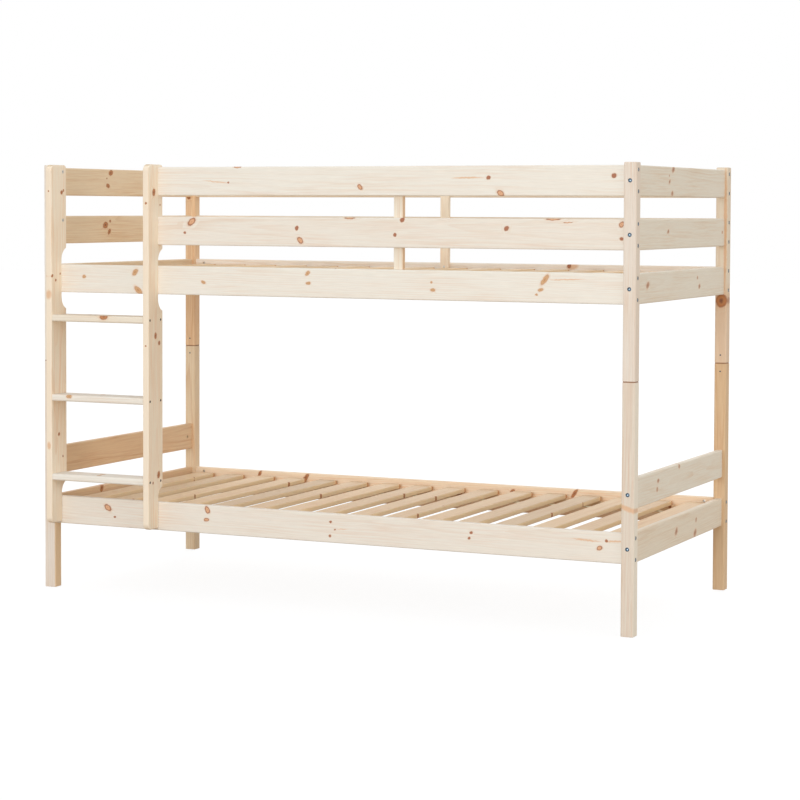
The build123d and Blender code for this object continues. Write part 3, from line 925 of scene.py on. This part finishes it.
def set_screw(length):
    """A headless screw with a small hexagon socket."""
    piece = rod(SET_SCREW, length, 0, sides=SET_SCREW_SIDES)
    piece.data.materials.append(zinc_plating)
    cut(piece, [rod(SET_SOCKET, SET_SOCKET_DEPTH * 2, SET_SOCKET_DEPTH, sides=6)], zinc_plating)
    soften(piece, SET_SCREW_EDGE)
    return piece


for node in nodes:
    if node.endswith("barrel_nuts"):
        place_copies(node, barrel_nut, spin=False)
    elif node.endswith("pin_screws"):
        place_copies(node, set_screw, spin=True)

# %% [markdown]
# ## Wood screws
# Treads, uprights and ledges are held by flat-head wood screws, set flush. The cross recess is cut with
# two bars whose lower ends are drawn in, as the point of a screwdriver is. One model serves for all, in
# black for the treads and bright for the rest.

# %% Wood screws
SCREW_HEAD, SCREW_HEAD_HEIGHT, SCREW_SHANK = 4.0, 3.0, 2.0
RECESS, RECESS_WIDTH, RECESS_DEPTH = 4.6, 0.95, 2.0
RECESS_POINT = (0.35, 0.6, 1)
SCREW_EDGE = 0.2


def recess_bar(turn):
    """One arm of the cross recess, drawn in towards its lower end."""
    arm = bar(RECESS, RECESS_WIDTH, RECESS_DEPTH * 2)
    pick_faces(arm, looks_down)
    bpy.ops.transform.resize(value=RECESS_POINT)
    bpy.ops.object.mode_set(mode="OBJECT")
    arm.data.transform(Matrix.Rotation(turn, 4, "Z"))
    return arm


def wood_screw(length, finish=bare_steel):
    """A flat-head screw with a cross recess."""
    piece = headed_rod(SCREW_HEAD, SCREW_HEAD_HEIGHT, SCREW_SHANK, length, finish)
    cut(piece, [recess_bar(0), recess_bar(math.pi / 2)], finish)
    soften(piece, SCREW_EDGE)
    return piece


def tread_screw(length):
    """The black screw of the treads."""
    return wood_screw(length, black_zinc)


place_copies("tread_screws", tread_screw, spin=True)
for node in nodes:
    if node == "upright_screws" or node.endswith("ledge_screws"):
        place_copies(node, wood_screw, spin=True)

# %% [markdown]
# ## Woven band
# Under the slats run two woven bands that keep them apart, in a sand colour close to the wood. The
# threads run along the band and across it, so the weave is the product of two waves.

# %% Woven band
THREAD, THREAD_RELIEF, THREAD_STRENGTH = 1.6, 0.3, 0.6
WEAVE = (-1.0, 1.0, 0.0, 1.0)
BAND_FIBRE, BAND_WEAR = 1.1, 0.4
BAND_ROUGHNESS = 0.8


def webbing():
    """Plain-woven polypropylene: to the eye a sand-coloured, matt band with raised threads both ways."""
    material, tree, shader = new_material("woven_polypropylene_band")
    place = add(tree, "TexCoord", {}, out="Object")
    tau_per_thread = math.tau / (THREAD * MILLIMETRE)
    phase = add(tree, "VectorMath", {0: place, "Scale": tau_per_thread}, operation="SCALE")
    ways = add(tree, "SeparateXYZ", {"Vector": phase}).node.outputs
    warp = add(tree, "Math", {0: ways[0]}, operation="SINE")
    weft = add(tree, "Math", {0: ways[1]}, operation="SINE")
    weave = add(tree, "Math", {0: warp, 1: weft}, operation="MULTIPLY")
    lift = add(tree, "MapRange", {"Value": weave}, levels=WEAVE)
    fibre = add(tree, "TexNoise", {"Vector": place, "Scale": 1 / (BAND_FIBRE * MILLIMETRE), "Detail": 2.0})
    worn = add(tree, "Math", {0: fibre, 1: BAND_WEAR, 2: lift}, operation="MULTIPLY_ADD")
    thread = add(tree, "Mix", {SHARE: worn, UNDER: linear("#B7A27C"), OVER: linear("#DCCBAA")}, **BLEND)
    depth = THREAD_RELIEF * MILLIMETRE
    bump = add(tree, "Bump", {"Strength": THREAD_STRENGTH, "Distance": depth, "Height": lift})
    tree.links.new(thread, shader.inputs["Base Color"])
    tree.links.new(bump, shader.inputs["Normal"])
    shader.inputs["Roughness"].default_value = BAND_ROUGHNESS
    return material


band = webbing()
print("woven band with a thread every", THREAD, "mm")

# %% [markdown]
# ## Slat straps
# Between two slats a strap hangs a little, and it lies flat where a slat presses on it. A cloth
# simulation would find nearly the same shape and take longer, so a narrow grid is bent by a formula and
# given its thickness.

# %% Slat straps
BAND_SAG, BAND_CLEAR = 2.0, 0.15
STEPS_TO_SLAT, STEPS_ACROSS = 8, 4


def strap(node, corners, number):
    """One band under a row of slats."""
    low, high = (Vector(map(pick, zip(*corners))) for pick in (min, max))
    size = high - low
    steps = STEPS_TO_SLAT * SLAT_COUNT
    bpy.ops.object.select_all(action="DESELECT")
    bpy.ops.mesh.primitive_grid_add(x_subdivisions=steps, y_subdivisions=STEPS_ACROSS, size=1)
    piece = bpy.context.object
    piece.name = f"{node}_{number}"
    for corner in piece.data.vertices:
        corner.co.x = low.x + (corner.co.x + 0.5) * size.x
        corner.co.y = low.y + (corner.co.y + 0.5) * size.y
        run = ((corner.co.x - low.x) / MILLIMETRE) % SLAT_PITCH
        gap = max(0, run - SLAT_WIDTH) / (SLAT_PITCH - SLAT_WIDTH)
        corner.co.z = high.z - (BAND_CLEAR + BAND_SAG * math.sin(math.pi * gap) ** 2) * MILLIMETRE
    thick = piece.modifiers.new("thickness", "SOLIDIFY")
    thick.thickness = size.z
    thick.offset = -1
    alone(piece)
    bpy.ops.object.modifier_apply(modifier=thick.name)
    bpy.ops.object.shade_smooth_by_angle(angle=HARD_EDGE)
    piece.data.materials.append(band)
    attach(piece, nodes[node]["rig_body"])
    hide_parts(node)
    print(piece.name, "length in metres:", round(size.x, 3))


for node in ("lower_slat_straps", "upper_slat_straps"):
    for number, corners in enumerate(solids_of(node), 1):
        strap(node, corners, number)

# %% [markdown]
# ## Camera
# The photograph was taken with a long lens from the front right, a little below the top of the bed, with
# the picture shifted down so that the posts stay upright. The same camera is set up here, from the
# corners of the posts. Part of the shift is a small tilt.

# %% Camera
PICTURE, FOCAL_LENGTH = 800, 2256
SENSOR, LENS_SHIFT = 36, -0.12
CAMERA_AT = (3.1841, -6.7301, 1.2625)
YAW, PITCH, ROLL = 24.912, -2.435, 0.212
camera = bpy.data.objects.new("camera", bpy.data.cameras.new("camera"))
bpy.context.scene.collection.objects.link(camera)
bpy.context.scene.camera = camera
camera.data.sensor_width = SENSOR
camera.data.lens = SENSOR * FOCAL_LENGTH / PICTURE
camera.data.shift_y = LENS_SHIFT
turned = Matrix.Rotation(math.radians(YAW), 4, "Z")
tilted = Matrix.Rotation(math.radians(90 + PITCH), 4, "X")
rolled = Matrix.Rotation(math.radians(ROLL), 4, "Z")
camera.matrix_world = Matrix.Translation(CAMERA_AT) @ turned @ tilted @ rolled
print("lens in millimetres:", round(camera.data.lens, 1))

# %% [markdown]
# ## Light
# The bed was photographed in flat studio light. The key is a large soft lamp, low and straight in front
# and so far away that both ends of the bed get the same light and the rear boards are lit between the
# front ones. A warmer fill comes from the right and a weak one from behind, in a pale room. The room
# looks white to the camera and to the steel, and lights the bed a little less than that.

# %% Light
SKY = 0.87
CENTRE, LAMP_SIZE = (0, 0, 0.7), 4.0


def lamp(name, at, power, colour):
    """A large soft lamp that looks at the middle of the bed."""
    light = bpy.data.objects.new(name, bpy.data.lights.new(name, "AREA"))
    bpy.context.scene.collection.objects.link(light)
    light.data.size = LAMP_SIZE
    light.data.energy = power
    light.data.color = linear(colour)[:3]
    light.location = at
    light.rotation_euler = (Vector(CENTRE) - Vector(at)).to_track_quat("-Z", "Y").to_euler()


def seen_white(tree):
    """1 for rays of the camera, of gloss and of glass, which see the background as white."""
    path = add(tree, "LightPath", {}).node.outputs
    seen = add(tree, "Math", {0: path["Is Camera Ray"], 1: path["Is Glossy Ray"]}, operation="MAXIMUM")
    return add(tree, "Math", {0: seen, 1: path["Is Transmission Ray"]}, operation="MAXIMUM")


lamp("key", (0.2, -13.3, 1.8), 570, "#FFFFFF")
lamp("fill", (9.0, -4.0, 2.0), 113, "#FFF2E0")
lamp("back", (-2.0, 6.5, 3.5), 90, "#FFFFFF")

world = bpy.data.worlds.new("room")
bpy.context.scene.world = world
world.use_nodes = True
background = world.node_tree.nodes["Background"]
seen = seen_white(world.node_tree)
room_light = [SKY * channel for channel in linear("#F4FBFF")]
room = add(world.node_tree, "Mix", {SHARE: seen, UNDER: room_light, OVER: linear("#FFFFFF")}, **BLEND)
world.node_tree.links.new(room, background.inputs["Color"])
print("three lamps and a room")

# %% [markdown]
# ## Floor
# The floor looks white to the camera and to the steel too, and still takes a faint shadow. More light
# would also make it white, but it would bleach the bed, so the paint glows for these rays alone. To light
# that bounces it is a warm grey, as boards over it would be, and that warms the undersides.

# %% Floor
FLOOR_SIZE, FLOOR_GLOW, FLOOR_ROUGHNESS = 60, 0.88, 0.9
bpy.ops.object.select_all(action="DESELECT")
bpy.ops.mesh.primitive_plane_add(size=FLOOR_SIZE)
floor = bpy.context.object
floor.name = "floor"
paint, tree, shader = new_material("floor_paint")
seen = seen_white(tree)
paint_colour = add(tree, "Mix", {SHARE: seen, UNDER: linear("#A89884"), OVER: linear("#606060")}, **BLEND)
tree.links.new(paint_colour, shader.inputs["Base Color"])
shader.inputs["Roughness"].default_value = FLOOR_ROUGHNESS
shader.inputs["Emission Color"].default_value = linear("#FFFFFF")
glow = add(tree, "Math", {0: seen, 1: FLOOR_GLOW}, operation="MULTIPLY")
tree.links.new(glow, shader.inputs["Emission Strength"])
floor.data.materials.append(paint)
print("floor of", FLOOR_SIZE, "m")
